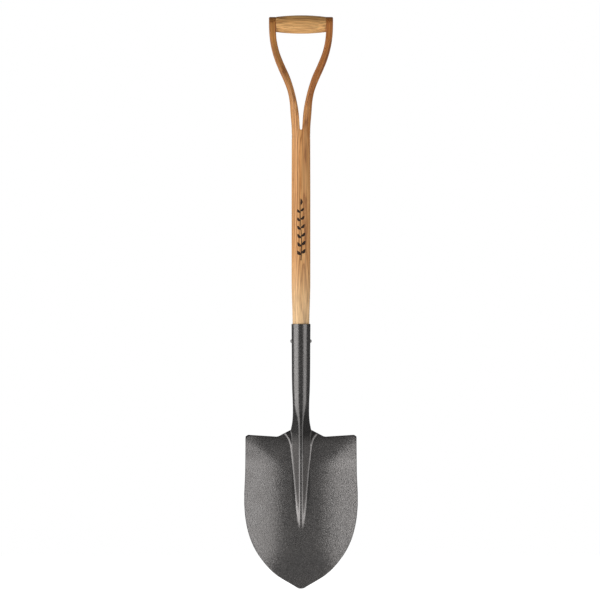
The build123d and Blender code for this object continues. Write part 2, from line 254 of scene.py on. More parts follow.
def front_y(x, z):
    """Front face of the head below the neck: frog, sheet, the fillet between them, and the low step."""
    step_x = curve_at(STEP_X, z)
    step = STEP_HEIGHT * rise(z, STEP_FROM_Z, STEP_FROM_Z + 14) * (1 - rise(z, 293, FLARE_TOP_Z))
    raised = sheet_y(x, z) - step * (1 - rise(x, step_x - STEP_HALF_RUN, step_x + STEP_HALF_RUN))
    fillet = FOOT_FILLET * (1 - rise(z, STEP_FROM_Z, STEP_FROM_Z + 16)) + LEAST_FILLET
    return soft_min(ridge_y(x, z), raised, fillet)


def tube_share(z):
    """0 where the section is the frog's, 1 where it is the socket's circle."""
    return rise(z, TUBE_FROM_Z, TUBE_END_Z)


# Sections of the blade. A section's level is its height where the top edge is plain, and it follows
# LEVEL_SHARE of the top edge's own rise and flare. The last ones run round the treads' bend.
TIP_LEVELS = TIP_R * (1 - np.cos(np.radians([0.3, 4, 8, 13, 18, 24, 30])))
TIP_END_Z = 1.74
LOW_LEVELS = TIP_END_Z + np.cumsum(np.linspace(0.7, 2.1, 28))
FLAT_LEVELS = np.concatenate([
    TIP_LEVELS, LOW_LEVELS, np.linspace(LOW_LEVELS[-1] + 2.1, 200, 62), np.linspace(202, 286, 48),
])
BEND_TURN = np.radians(np.linspace(0, 90, 9))[1:]
LEVEL = np.concatenate([FLAT_LEVELS, SHOULDER_Z - TREAD_BEND * (1 - np.sin(BEND_TURN))])
LEVEL_SHARE = np.concatenate([rise(FLAT_LEVELS, 196, 286), np.ones(len(BEND_TURN))])
LEVEL_TURN = np.concatenate([np.zeros(len(FLAT_LEVELS)), BEND_TURN])
INNER_Z = LEVEL + (FLARE_TOP_Z - SHOULDER_Z) * LEVEL_SHARE   # the sections' heights at the frog
TUBE_Z = np.concatenate([np.linspace(305, 365, 34), np.linspace(367.5, MOUTH_Z, 46)])
FROG_SHARES = np.linspace(0, 1, 35)
WING_SHARES = np.concatenate([np.linspace(0, 0.17, 20)[1:], np.linspace(0.195, 0.985, 33), [1.0]])


def frog_grid():
    """Right half of the frog, neck and socket: a row of points per height, from crest to side."""
    z = np.concatenate([INNER_Z, TUBE_Z])
    tall = np.repeat(z[:, None], len(FROG_SHARES), 1)
    half = curve_at(HALF_WIDTH, z)[:, None]
    tube = tube_share(z)[:, None]
    turn = math.pi / 2 * FROG_SHARES
    x = (1 - tube) * half * FROG_SHARES + tube * half * np.sin(turn)
    y = (1 - tube) * ridge_y(half * FROG_SHARES, tall) - tube * half * np.cos(turn)
    # near the point the blade is narrower than the frog's section
    x = x * np.minimum(1, 0.5 * blade_edge(np.minimum(z, 250)) / x[:, -1])[:, None]
    rows = len(INNER_Z)
    y[:rows] = front_y(x[:rows], tall[:rows])
    return np.stack([x, y, tall], 2)


def wing_grid(side):
    """Right half of the blade beside the frog: a row of points per section, from side to edge."""
    half = side[:, 0]
    wing = np.zeros((len(side), len(WING_SHARES) + 1, 3))
    wing[:, 0] = side
    for j, fraction in enumerate(WING_SHARES):
        x = half + (blade_edge(LEVEL) - half) * fraction
        for _ in range(8):   # height and half width depend on each other
            height = LEVEL + (top_z(x) - SHOULDER_Z) * LEVEL_SHARE
            inside = np.interp(height, INNER_Z, half)
            inside = np.where(height > FLARE_TOP_Z, FLARE_IN, inside)
            x = inside + (blade_edge(height) - inside) * fraction
        height = LEVEL + (top_z(x) - SHOULDER_Z) * LEVEL_SHARE
        bend = TREAD_BEND * rise(x, FLARE_IN, FLARE_IN + BEND_RUN)
        y = front_y(x, height) + bend * (1 - np.cos(LEVEL_TURN))
        wing[:, j + 1] = np.stack([x, y, height], 1)
    return wing


def strip_grid(shoulder, neck):
    """What turns to the rear: the tread from its outer end inwards, the flare, and round the neck and
    the socket to the seam. Each row runs from front to back."""
    s = np.linspace(0, 1, 15)
    path = np.concatenate([shoulder, neck])
    strip = np.zeros((len(path), len(s), 3))
    count = len(shoulder)

    x = shoulder[:, 0]
    by_neck = 1 - rise(x, FLARE_IN, FLARE_OUT)
    depth = TREAD_DEPTH_NECK + (TREAD_DEPTH - TREAD_DEPTH_NECK) * rise(x, 20, 50)
    depth = depth - TREAD_BEND * rise(x, FLARE_IN, FLARE_IN + BEND_RUN)
    turn = math.acos(OPENING_HALF / FLARE_IN) * s
    back = (1 - by_neck)[:, None] * depth[:, None] * s + by_neck[:, None] * NECK_DEPTH * np.sin(turn)
    inward = by_neck[:, None] * FLARE_IN * (1 - np.cos(turn))
    lean = (np.pi / 2 * by_neck**1.5)[:, None]
    strip[:count, :, 0] = x[:, None] - inward * np.sin(lean)
    strip[:count, :, 1] = shoulder[:, 1, None] + back
    strip[:count, :, 2] = shoulder[:, 2, None] - inward * np.cos(lean)

    wide = curve_at(HALF_WIDTH, TUBE_Z)
    tube = tube_share(TUBE_Z)
    rear = (1 - tube) * NECK_DEPTH + tube * wide
    seam = np.arccos(np.clip(curve_at(SEAM_EDGE, TUBE_Z) / wide, 0, 0.99))
    turn = seam[:, None] * s
    strip[count:, :, 0] = wide[:, None] * np.cos(turn)
    strip[count:, :, 1] = neck[:, 1, None] + rear[:, None] * np.sin(turn)
    strip[count:, :, 2] = TUBE_Z[:, None]
    strip[:, 0] = path
    return strip


def rear_faces(frog, wing):
    """Depth of the sheet's rear face behind the points of both grids, one thickness away in every flat
    section, and NaN in the others."""
    behind_frog = np.full(frog.shape[:2], np.nan)
    behind_wing = np.full(wing.shape[:2], np.nan)
    for i in range(len(FLAT_LEVELS)):
        row = np.concatenate([frog[i], wing[i, 1:]])
        whole = np.concatenate([row * [-1, 1, 1], row])
        dx = row[:, :1] - whole[:, 0]
        reach = np.sqrt(np.maximum(SHEET**2 - dx * dx, 0))
        rear = (whole[:, 1] + np.where(np.abs(dx) < SHEET, reach, -1e9)).max(1)
        behind_frog[i] = rear[: frog.shape[1]]
        behind_wing[i] = rear[frog.shape[1] - 1:]
    return behind_frog, behind_wing


def head_half():
    """Right half of the head's outer skin: three grids, each with the depth of its rear face."""
    frog = frog_grid()
    rows = len(INNER_Z)
    wing = wing_grid(frog[:rows, -1])
    strip = strip_grid(wing[-1, ::-1], frog[rows:, -1])
    behind_frog, behind_wing = rear_faces(frog, wing)
    return [(frog, behind_frog), (wing, behind_wing), (strip, np.full(strip.shape[:2], np.nan))]


# ---- mesh building

def quads_of(rows, cols, start):
    """Four point numbers for each cell of a grid whose first point has the number start."""
    i = np.arange(rows - 1)[:, None] * cols + np.arange(cols - 1)
    return (np.stack([i, i + 1, i + 1 + cols, i + cols], 2) + start).reshape(-1, 4)


def join(grids):
    """Points, quads and an extra value per point from several (grid, extra) pairs."""
    points, quads, extras, start = [], [], [], 0
    for grid, extra in grids:
        rows, cols = grid.shape[:2]
        points.append(grid.reshape(-1, 3))
        extras.append(extra.reshape(-1))
        quads.append(quads_of(rows, cols, start))
        start += rows * cols
    return np.concatenate(points), np.concatenate(quads), np.concatenate(extras)


def with_mirror(points, quads, extra):
    """The same with its mirror image in X added."""
    n = len(points)
    both = np.concatenate([points, points * [-1, 1, 1]])
    return both, np.concatenate([quads, quads[:, ::-1] + n]), np.concatenate([extra, extra])


def weld(points, quads, extra):
    """Points within about 0.002 mm of each other made one."""
    key = np.round(points * 500).astype(np.int64)
    _, first, back = np.unique(key, axis=0, return_index=True, return_inverse=True)
    return points[first], back.reshape(-1)[quads], extra[first]


def face_list(quads):
    """Faces of the quads. Repeated corners are dropped, and so are faces with fewer than three left."""
    faces = []
    for quad in quads.tolist():
        face = [v for k, v in enumerate(quad) if v != quad[k - 1]]
        if len(set(face)) == len(face) and len(face) >= 3:
            faces.append(face)
    return faces


def quad_sides(quads):
    """Point pairs along the sides of the quads, in the quads' own direction."""
    pairs = np.concatenate([quads[:, [k, (k + 1) % 4]] for k in range(4)])
    return pairs[pairs[:, 0] != pairs[:, 1]]


def unit(vectors):
    return vectors / (np.linalg.norm(vectors, axis=1)[:, None] + 1e-12)


def vertex_normals(points, quads, rounds):
    """Smooth unit normals, averaged with their neighbours for a few rounds."""
    p = points[quads]
    flat = np.cross(p[:, 2] - p[:, 0], p[:, 3] - p[:, 1])
    normal = np.zeros_like(points)
    for k in range(4):
        np.add.at(normal, quads[:, k], flat)
    normal = unit(normal)
    pairs = quad_sides(quads)
    for _ in range(rounds):
        total = normal.copy()
        np.add.at(total, pairs[:, 0], normal[pairs[:, 1]])
        np.add.at(total, pairs[:, 1], normal[pairs[:, 0]])
        normal = unit(total)
    return normal


def place(points):
    """Points in the frame's metres."""
    return (np.asarray(points) + [0, AXIS_Y, 0]) * 0.001


def make_object(name, points, faces, fill=False):
    """Mesh object from points in millimetres, smooth shaded, with outward normals."""
    mesh = bpy.data.meshes.new(name)
    mesh.from_pydata(place(points).tolist(), [], faces)
    bm = bmesh.new()
    bm.from_mesh(mesh)
    if fill:
        open_edges = [e for e in bm.edges if len(e.link_faces) == 1]
        bmesh.ops.holes_fill(bm, edges=open_edges, sides=0)
    bmesh.ops.recalc_face_normals(bm, faces=bm.faces)
    for f in bm.faces:
        f.smooth = True
    bm.to_mesh(mesh)
    bm.free()
    obj = bpy.data.objects.new(name, mesh)
    bpy.context.scene.collection.objects.link(obj)
    return obj


def set_attribute(mesh, name, values):
    """Store one number or one vector per vertex, for the materials."""
    kind, field = ("FLOAT_VECTOR", "vector") if values.ndim == 2 else ("FLOAT", "value")
    layer = mesh.attributes.new(name, kind, "POINT")
    layer.data.foreach_set(field, values.astype(np.float32).ravel())


def local_points(mesh):
    """Vertices back in millimetres about the shaft's axis."""
    out = np.empty(len(mesh.vertices) * 3, np.float32)
    mesh.vertices.foreach_get("co", out)
    return out.reshape(-1, 3) * 1000 - [0, AXIS_Y, 0]


# ---- the head

# (inset, share of the thickness) of the points round the sheet's edge, from front to back
RIM = [(0.16, 0.10), (0.0, 0.34), (0.0, 0.66), (0.16, 0.90)]
RIM_INSET = 0.55         # the faces end this far inside the edge
CAD_ROOM = 0.03          # the sheet stays this far inside the CAD head's box
LOWEST_Z = 0.02


def rear_skin(points, quads, rear):
    """The sheet's rear points: one thickness behind, or at the known depth in the flat sections."""
    behind = points - SHEET * vertex_normals(points, quads, 5)
    known = ~np.isnan(rear)
    weight = np.where(known, 1 - rise(points[:, 2], 286, 298), 0) * rise(points[:, 2], 2, 8)
    stated = points.copy()
    stated[known, 1] = rear[known]
    return behind + (stated - behind) * weight[:, None]


def open_border(points, quads):
    """Point pairs along the open edges of a skin, and each point's direction out of the skin."""
    count = len(points)
    pairs = quad_sides(quads)
    code = pairs[:, 0] * count + pairs[:, 1]
    reverse = pairs[:, 1] * count + pairs[:, 0]
    border = pairs[~np.isin(code, reverse)]
    run = points[border[:, 1]] - points[border[:, 0]]
    run /= np.linalg.norm(run, axis=1)[:, None]
    along = np.zeros_like(points)
    np.add.at(along, border[:, 0], run)
    np.add.at(along, border[:, 1], run)
    return border, unit(np.cross(along, vertex_normals(points, quads, 0)))


def frog_painted_shade(points):
    """Share of the painted shade at each point, a darker coat tone standing in for shade: all of it along
    the frog's crest, about two thirds on its flanks and on the socket, and none on the blade."""
    x, z = np.abs(points[:, 0]), points[:, 2]
    foot = np.maximum(curve_at(HALF_WIDTH, z) + 0.6, curve_at(STEP_X, z) - 0.8)
    on_frog = rise(foot - x, 0, 2) * rise(z, 130, 200)
    on_crest = rise(7.5 - x, 0, 3) * rise(z, 235, 275) * (1 - rise(z, 305, 350))
    return np.where(z > FLARE_TOP_Z, 1.0, on_frog) * (0.65 + 0.35 * on_crest)


def make_head():
    """Formed sheet: a front skin, a rear skin, and rounded edges that join them."""
    points, quads, rear = weld(*with_mirror(*join(head_half())))
    behind = rear_skin(points, quads, rear)
    border, outward = open_border(points, quads)
    count = len(points)
    on_border = np.unique(border)
    base = points[on_border]
    through = behind[on_border] - base
    out = outward[on_border]
    rings = [base - out * inset + through * share for inset, share in RIM]
    front = points.copy()
    front[on_border] -= out * RIM_INSET
    behind[on_border] -= out * RIM_INSET
    every = np.concatenate([front, behind] + rings)
    lowest = [CAD_ROOM - HEAD_HIGH[0], HEAD_LOW[1] - AXIS_Y + CAD_ROOM, LOWEST_Z]
    highest = [HEAD_HIGH[0] - CAD_ROOM, HEAD_HIGH[1] - AXIS_Y - CAD_ROOM, 600]
    every = np.clip(every, lowest, highest)

    faces = face_list(quads)
    faces += [[v + count for v in reversed(face)] for face in faces]
    ring_ids = [on_border]
    ring_ids += [2 * count + k * len(on_border) + np.arange(len(on_border)) for k in range(len(RIM))]
    ring_ids.append(on_border + count)
    for a, b in np.searchsorted(on_border, border).tolist():
        for near, far in zip(ring_ids, ring_ids[1:]):
            faces.append([int(near[b]), int(near[a]), int(far[a]), int(far[b])])
    obj = make_object("head_sheet", every, faces)

    edge = np.zeros(len(every))
    edge[2 * count:] = 1.0
    edge[on_border] = 0.6
    set_attribute(obj.data, "edge", edge)
    # the frog's painted shade, stored for the coat
    set_attribute(obj.data, "frog", frog_painted_shade(every))
    return obj


# ---- the shaft

SHAFT_R = 18.0
TAPER_RUN = 82           # the shaft swells to SHAFT_R over this length above the socket
THIN_FROM_Z = 760        # and thins to UPPER_R from here up to the fork
UPPER_R = 17.75
BORE_MOUTH_R = 16.2      # the socket's bore at its mouth and at its neck
BORE_NECK_R = 13.7
NECK_Z = 342
TENON_END_Z = 366        # lower end of the wood inside the socket
TENON_CHAMFER = 1.5
TENON_ROOM = 0.06        # gap between the wood and the bore
FORK_Z = 856             # from here up the sections are the fork's rounded rectangles
CROTCH_Z = 880.0         # bottom of the split between the arms, and its half width there
SPLIT_HALF = 2.1
EASE_LOW = 0.9           # rounding of the split's edges at its bottom
EASE_GROWTH = 4.0        # what it gains along the arms
EASE_GRIP = 1.0          # rounding beside the grip
# (height, half width, half depth, corner radius) of the fork's outside
FORK = [
    (860, 17.75, 17.75, 17.4), (885, 18.0, 17.4, 16.8), (910, 20.0, 16.6, 15.4),
    (935, 22.0, 15.6, 13.6), (955, 26.0, 14.8, 11.5), (975, 33.6, 14.2, 9.0),
    (995, 42.6, 13.8, 7.0), (1015, 50.6, 13.7, 6.2), (1035, 56.4, 13.8, 5.2),
    (1055, 60.0, 14.1, 3.6), (1075, 61.4, 14.4, 2.2), (1100, 61.6, 14.4, 2.2),
]
FORK_X, FORK_Y, FORK_CORNER = [[(row[0], row[k]) for row in FORK] for k in (1, 2, 3)]
# (height, half width) up the inside of an arm, from the crotch to the grip
ARM_INSIDE_Z = [
    (CROTCH_Z + SPLIT_HALF, SPLIT_HALF), (914, 4.6), (937, 8.6), (960, 14.3), (983, 22.0),
    (1006, 32.4), (1029, 41.4), (1050, 46.3), (1068, GRIP_HALF), (1083, GRIP_HALF),
]
RING_STEPS = 52          # steps between the points of a half section


def shaft_radius(z):
    """Radius of the tenon and the round shaft."""
    tenon = BORE_NECK_R + (BORE_MOUTH_R - BORE_NECK_R) * (z - NECK_Z) / (MOUTH_Z - NECK_Z) - TENON_ROOM
    taper = BORE_MOUTH_R + (SHAFT_R - BORE_MOUTH_R) * smooth((z - MOUTH_Z) / TAPER_RUN)
    upper = SHAFT_R - (SHAFT_R - UPPER_R) * rise(z, THIN_FROM_Z, FORK[0][0])
    return np.where(z < MOUTH_Z, tenon, np.where(z < THIN_FROM_Z, taper, upper))


def half_ring(start, wide, deep, corner):
    """Right half of a section with rounded corners, from its front at x = start to its back, evenly
    spaced. It may start on the corner's arc."""
    corner = min(corner, deep - 0.02)
    flat = max(wide - corner - start, 0.0)
    first_turn = math.asin(max(start - (wide - corner), 0.0) / corner)
    arc = corner * (math.pi / 2 - first_turn)
    total = 2 * flat + 2 * arc + 2 * (deep - corner)
    out = []
    for k in range(RING_STEPS + 1):
        s = total * k / RING_STEPS
        mirrored = s > total / 2
        if mirrored:
            s = total - s
        if s < flat:
            x, y = start + s, -deep
        elif s < flat + arc:
            t = first_turn + (s - flat) / corner
            x, y = wide - corner + corner * math.sin(t), -deep + corner - corner * math.cos(t)
        else:
            x, y = wide, -deep + corner + (s - flat - arc)
        out.append((x, -y if mirrored else y))
    return out


def split_curve():
    """Inside of the split from its bottom to the grip: x, z, unit directions into the wood, and the
    radius of the eased edge."""
    turn = np.radians(np.linspace(0, 90, 8))
    arm_z = np.concatenate([
        np.linspace(884, 900, 7), np.linspace(902.5, 1066, 58), np.linspace(1069, GRIP_Z, 6),
    ])
    x = np.concatenate([SPLIT_HALF * np.sin(turn), curve_at(ARM_INSIDE_Z, arm_z)])
    z = np.concatenate([CROTCH_Z + SPLIT_HALF * (1 - np.cos(turn)), arm_z])
    along_x, along_z = np.gradient(x), np.gradient(z)
    along_x[0], along_z[0] = 1, 0
    along_x[-1], along_z[-1] = 0, 1
    size = np.hypot(along_x, along_z)
    near_grip = rise(z, 1040, 1062)
    ease = (EASE_LOW + EASE_GROWTH * rise(z, 884, 944)) * (1 - near_grip) + EASE_GRIP * near_grip
    return x, z, along_z / size, -along_x / size, ease


def section(z, start=0.0):
    """Right half of the outside at height z, from x = start at its front. The round shaft turns into the
    fork's rounded rectangle."""
    if z < FORK_Z:
        wide = deep = float(shaft_radius(z)) - (TENON_CHAMFER if z == TENON_END_Z else 0)
        corner = wide - 0.02
    else:
        near = float(rise(z, 850, 860))
        wide = UPPER_R + (float(curve_at(FORK_X, z)) - UPPER_R) * near
        deep = UPPER_R + (float(curve_at(FORK_Y, z)) - UPPER_R) * near
        corner = min(UPPER_R - 0.02, float(curve_at(FORK_CORNER, z)) + (1 - near) * 0.3)
    return [(x, y, z) for x, y in half_ring(start, wide, deep, corner)]


def wall_row(x, z, into_x, into_z, radius, deep):
    """Across the inside wall of the split at one place, from its eased front edge to its rear one."""
    front = []
    for t in np.radians(np.linspace(0, 90, 6)):
        offset = radius * (1 - math.sin(t))
        y = -(deep - radius * (1 - math.cos(t)))
        front.append((x + into_x * offset, y, z + into_z * offset))
    across = [(x, y, z) for y in np.linspace(-(deep - radius), 0, 9)[1:]]
    half_row = front + across
    return half_row + [(rx, -ry, rz) for rx, ry, rz in reversed(half_row[:-1])]


def revolve(x, radius, first, last, steps):
    """Points turned about the grip's axis, from one angle to another in degrees."""
    turn = np.radians(np.linspace(first, last, steps + 1))[:, None]
    grid = np.broadcast_arrays(x, np.cos(turn) * radius, GRIP_Z + np.sin(turn) * radius)
    return np.stack(grid, 2)


def arm_cap(row):
    """Rounded top of an arm over the front half of one row of points."""
    return revolve(row[:, 0], -row[:, 1], 180, 0, 28)


def shaft_half():
    """Right half of the shaft, its arm, the arm's inside wall and its top, as grids of points."""
    stem_z = np.concatenate([
        [TENON_END_Z, 368, 420, 470, MOUTH_Z - 3, MOUTH_Z], np.linspace(MOUTH_Z + 4, 600, 16),
        np.linspace(612, 850, 24), np.linspace(FORK_Z, CROTCH_Z - 1.6, 10),
    ])
    x, z, into_x, into_z, ease = split_curve()
    start = x + into_x * ease
    start[0] = 0
    height = np.maximum.accumulate(z + into_z * ease)
    outer = [section(level) for level in stem_z]
    outer += [section(level, from_x) for level, from_x in zip(height, start)]
    outer = np.array(outer)
    beside_split = outer[len(stem_z):]
    deep = -beside_split[:, 0, 1]
    wall = np.array([wall_row(*at) for at in zip(x, z, into_x, into_z, ease, deep)])
    wall[:, 0] = beside_split[:, 0]
    wall[:, -1] = beside_split[:, -1]
    outer_cap = arm_cap(outer[-1][: RING_STEPS // 2 + 1])
    wall_cap = arm_cap(wall[-1][: wall.shape[1] // 2 + 1])
    return [outer, wall, outer_cap, wall_cap]


ARM_PATH_Z = np.linspace(CROTCH_Z, GRIP_Z + 20, 200)
ARM_MIDDLE = (curve_at(ARM_INSIDE_Z, ARM_PATH_Z) + curve_at(FORK_X, ARM_PATH_Z)) / 2
ARM_SLOPE = np.gradient(ARM_MIDDLE, ARM_PATH_Z)
ARM_LENGTH = np.concatenate([[0], np.cumsum(np.hypot(np.diff(ARM_MIDDLE), np.diff(ARM_PATH_Z)))])


def grain_of(points):
    """Where each point lay in the straight timber, before the arms were bent apart."""
    x, y, z = points.T
    middle = np.interp(z, ARM_PATH_Z, ARM_MIDDLE)
    slope = np.interp(z, ARM_PATH_Z, ARM_SLOPE)
    tilt = 1 / np.sqrt(1 + slope * slope)
    across = np.sign(x) * (ARM_MIDDLE[0] + (np.abs(x) - middle) * tilt)
    along = CROTCH_Z + np.interp(z, ARM_PATH_Z, ARM_LENGTH) + (np.abs(x) - middle) * slope * tilt
    ease = rise(z, CROTCH_Z, CROTCH_Z + 12)
    return np.stack([x + (across - x) * ease, y, z + (along - z) * ease], 1)


def cylinder_x(name, radius, x0, x1, z):
    """Closed cylinder along X, used to cut a washer's seat."""
    angle = np.linspace(0, 2 * np.pi, 64, endpoint=False)
    ring = [(radius * math.cos(t), z + radius * math.sin(t)) for t in angle]
    points = [(x0, y, h) for y, h in ring] + [(x1, y, h) for y, h in ring]
    n = len(ring)
    faces = [[i, (i + 1) % n, n + (i + 1) % n, n + i] for i in range(n)]
    faces += [list(range(n)), list(range(n, 2 * n))]
    return make_object(name, points, faces)


def cut(obj, cutters):
    """Cut closed shapes out of obj, then remove them."""
    for cutter in cutters:
        modifier = obj.modifiers.new("cut", "BOOLEAN")
        modifier.operation = "DIFFERENCE"
        modifier.solver = "EXACT"
        modifier.object = cutter
    bpy.context.view_layer.update()
    graph = bpy.context.evaluated_depsgraph_get()
    mesh = bpy.data.meshes.new_from_object(obj.evaluated_get(graph))
    obj.modifiers.clear()
    spent = [obj.data] + [cutter.data for cutter in cutters]
    obj.data = mesh
    for old in spent:
        bpy.data.meshes.remove(old)   # a cutter's object goes with its mesh
    mesh.polygons.foreach_set("use_smooth", np.ones(len(mesh.polygons), bool))


def sharpen(mesh):
    """Mark edges sharper than 50 degrees, so flat seats and ends keep flat shading."""
    bm = bmesh.new()
    bm.from_mesh(mesh)
    for e in bm.edges:
        if len(e.link_faces) == 2 and e.calc_face_angle(0) > math.radians(50):
            e.smooth = False
    bm.to_mesh(mesh)
    bm.free()


WASHER_T = 1.2           # thickness of a washer, which lies on the floor of its seat
SEAT_ROOM = 0.04         # the seat is this much wider than the washer
CUTTER_LENGTH = 14


def make_timber(name, grids, fill=False):
    """Object from the grids of its right half."""
    pairs = [(grid, np.zeros(grid.shape[:2])) for grid in grids]
    points, quads, _ = weld(*with_mirror(*join(pairs)))
    return make_object(name, points, face_list(quads), fill)


def make_shaft():
    """Shaft and arms, with round seats cut for the washers."""
    obj = make_timber("shaft_wood", shaft_half(), fill=True)
    cutters = []
    for low, high in (node_box("grip_washers"), node_box("fork_washers")):
        z = (low[2] + high[2]) / 2
        radius = (high[2] - low[2]) / 2 + SEAT_ROOM
        seat = high[0] - WASHER_T
        end = seat + CUTTER_LENGTH
        for side in (1, -1):
            cutters.append(cylinder_x("seat_cutter", radius, side * seat, side * end, z))
    cut(obj, cutters)
    sharpen(obj.data)
    set_attribute(obj.data, "grain", grain_of(local_points(obj.data)))
    return obj


GRIP_END_R = 14.6
END_RING_R = 8.0         # a ring of points on the grip's flat ends
GRIP_EASE = 0.6          # length of the eased stretch at each end, and what it takes off the radius
EASE_DEPTH = 0.5
GRIP_ROOM = 0.02         # the grip stays this far inside the CAD grip's surface


def make_grip():
    """Barrel-shaped crosspiece between the arms, with eased ends."""
    from_end = np.concatenate([[0, 0.05, 0.5, 1.2], np.linspace(3, GRIP_HALF, 28)])
    x = GRIP_HALF - from_end[::-1]
    crown = GRIP_R - GRIP_END_R
    bow = (GRIP_HALF**2 + crown**2) / (2 * crown)
    r = GRIP_R - bow + np.sqrt(bow * bow - x * x) - GRIP_ROOM
    r = r - EASE_DEPTH * np.clip((x - (GRIP_HALF - GRIP_EASE)) / GRIP_EASE, 0, 1) ** 2
    x = np.concatenate([x, [GRIP_HALF, GRIP_HALF]])
    r = np.concatenate([r, [END_RING_R, 0.0]])
    obj = make_timber("grip_wood", [revolve(x, r, 0, 360, 96)])
    sharpen(obj.data)
    p = local_points(obj.data)
    set_attribute(obj.data, "grain", np.stack([p[:, 1], p[:, 2] - GRIP_Z, p[:, 0]], 1))
    return obj


# ---- the burnt leaf mark on the shaft

MARK_LOW = 629.0
MARK_HIGH = 748.0
LEAF_PAIRS = 6


def stem_x(z):
    """Slight bend of the sprig's stem."""
    return 0.9 * np.sin((z - MARK_LOW) / (MARK_HIGH - MARK_LOW) * 2 * math.pi)


def stem_outline():
    """Left and right side of the stem, as (x, z) points."""
    z = np.linspace(MARK_LOW, MARK_HIGH - 9, 60)
    half = 0.85 - 0.35 * (z - MARK_LOW) / (MARK_HIGH - MARK_LOW)
    return [np.stack([stem_x(z) + side * half, z], 1) for side in (-1, 1)]


def leaf_outline(x, z, heading, length, breadth):
    """Left and right side of a leaf that grows from (x, z). The heading is measured from straight up."""
    ux, uz = math.sin(heading), math.cos(heading)
    t = np.linspace(0, 1, 15)
    half = breadth * np.sin(math.pi * t**0.85) ** 0.8 * 0.5 + 0.05
    bow = 0.10 * length * np.sin(math.pi * t) * (1 if ux > 0 else -1)
    sides = []
    for aside in (bow - half, bow + half):
        sides.append(np.stack([x + ux * length * t + uz * aside, z + uz * length * t - ux * aside], 1))
    return sides


def thin_patch(left, right, start):
    """Closed thin patch between two lines of (x, z) points, laid on the shaft's front. Its points are
    numbered from start."""
    rows, across = len(left), 5
    sheet = rows * across
    points, faces = [], []
    for lift in (0.05, -0.25):
        for (xl, zl), (xr, zr) in zip(left, right):
            for t in np.linspace(0, 1, across):
                x, z = xl + (xr - xl) * t, zl + (zr - zl) * t
                r = float(shaft_radius(z)) + lift
                points.append((r * math.sin(x / SHAFT_R), -r * math.cos(x / SHAFT_R), z))
    for quad in quads_of(rows, across, start).tolist():
        faces.append(quad)
        faces.append([v + sheet for v in reversed(quad)])
    number = np.arange(sheet).reshape(rows, across)
    rim = np.concatenate([number[:, 0], number[-1, 1:], number[-2::-1, -1], number[0, -2:0:-1]])
    for u, v in zip(rim.tolist(), np.roll(rim, -1).tolist()):
        faces.append([start + u, start + v, start + v + sheet, start + u + sheet])
    return points, faces


def make_mark():
    """A sprig of leaves burnt into the shaft's front: a stem, opposite leaves and one at its tip."""
    outlines = [stem_outline()]
    for k in range(LEAF_PAIRS):
        z = MARK_LOW + 12 + 16.2 * k
        length, breadth = 11.6 - 0.5 * k, 6.0 - 0.3 * k
        for side in (-1, 1):
            x = stem_x(z) + side * 0.4
            outlines.append(leaf_outline(x, z + 1.5 * side, side * 0.74, length, breadth))
    outlines.append(leaf_outline(stem_x(MARK_HIGH - 12), MARK_HIGH - 13, 0.02, 13.0, 4.6))
    points, faces = [], []
    for left, right in outlines:
        patch_points, patch_faces = thin_patch(left, right, len(points))
        points += patch_points
        faces += patch_faces
    obj = make_object("burnt_leaf_mark", points, faces)
    set_attribute(obj.data, "grain", grain_of(local_points(obj.data)))
    return obj


# ---- materials

